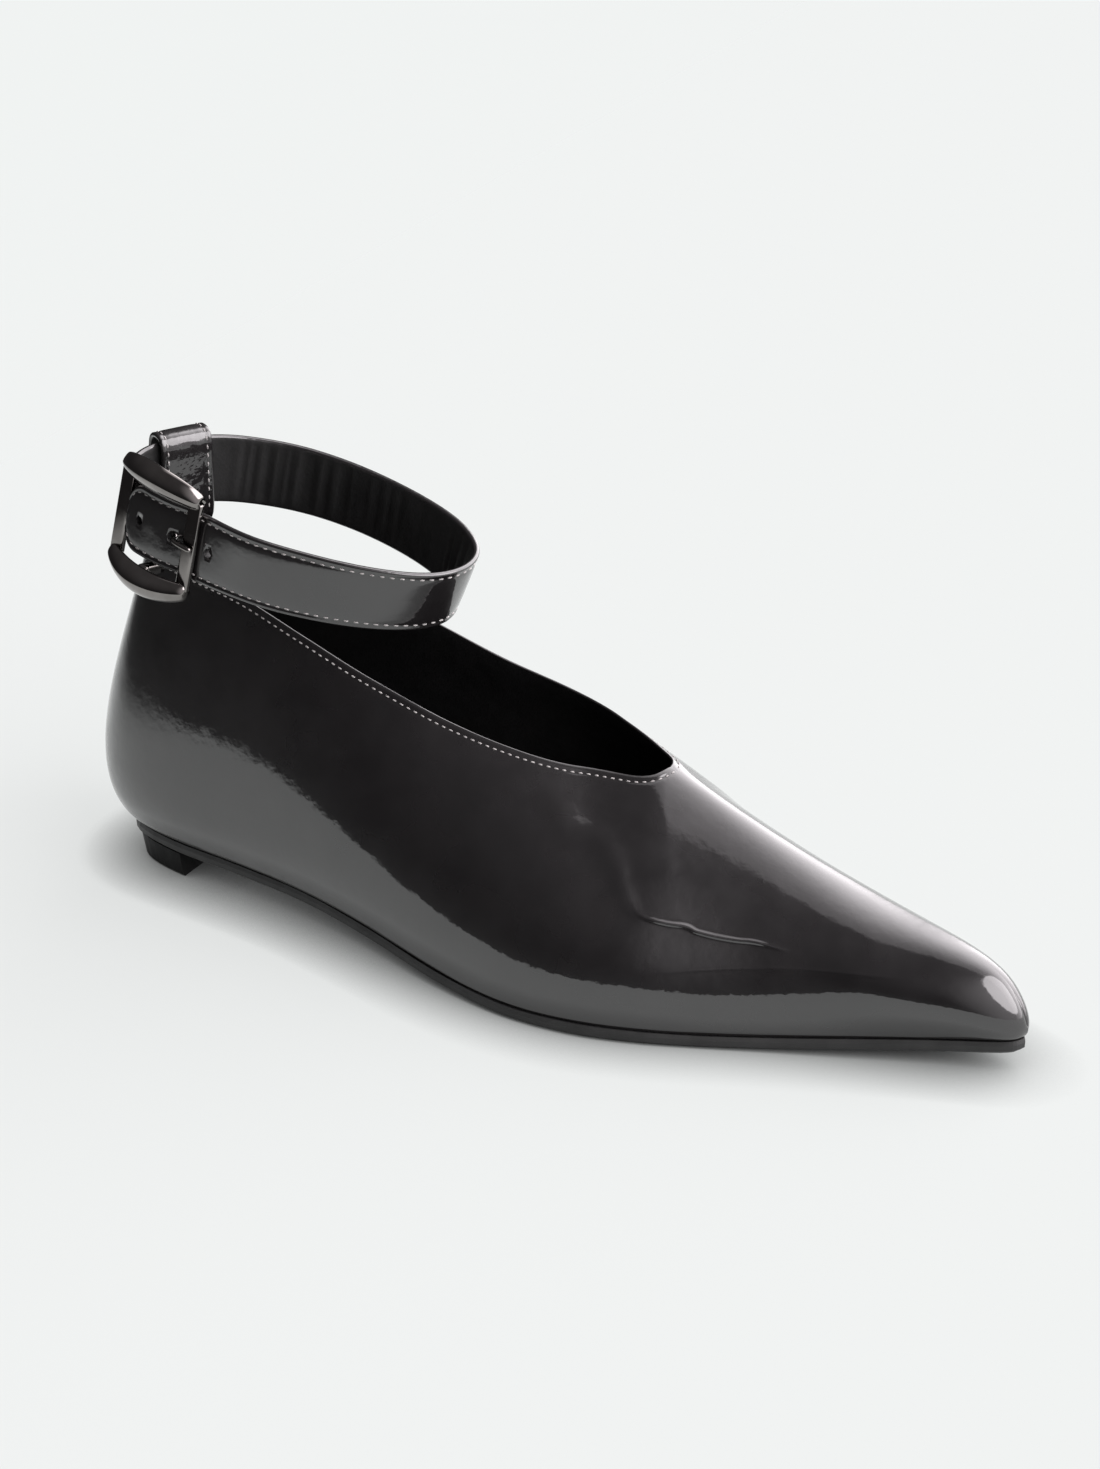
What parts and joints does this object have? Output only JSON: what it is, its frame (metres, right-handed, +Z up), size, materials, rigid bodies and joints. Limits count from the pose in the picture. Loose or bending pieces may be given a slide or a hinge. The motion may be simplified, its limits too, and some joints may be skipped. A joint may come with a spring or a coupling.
{
  "type": "ankle strap flat shoe",
  "caption": "Right-foot pointed flat shoe with a hollow patent upper, a low heel block and an ankle strap held by a loop at the back and a buckle on the outer side.",
  "frame": {"origin": "middle of the footprint box, on the floor plane", "axes": "+X towards the toe, +Y towards the inner side of the foot, +Z up"},
  "size_m": [0.2716, 0.0782, 0.1248],
  "materials": {
    "grey_patent": "dark grey patent gloss",
    "strap_patent": "dark grey patent gloss",
    "sole_black": "black, satin",
    "heel_black": "black, satin",
    "insole_black": "black, matt",
    "gunmetal": "polished gunmetal"
  },
  "bodies": {
    "root": {"upper": "grey_patent", "outsole": "sole_black", "heel": "heel_black", "insole": "insole_black", "ankle_strap": "strap_patent", "back_loop": "strap_patent", "buckle_frame": "gunmetal", "buckle_prong": "gunmetal"}
  },
  "joints": []
}
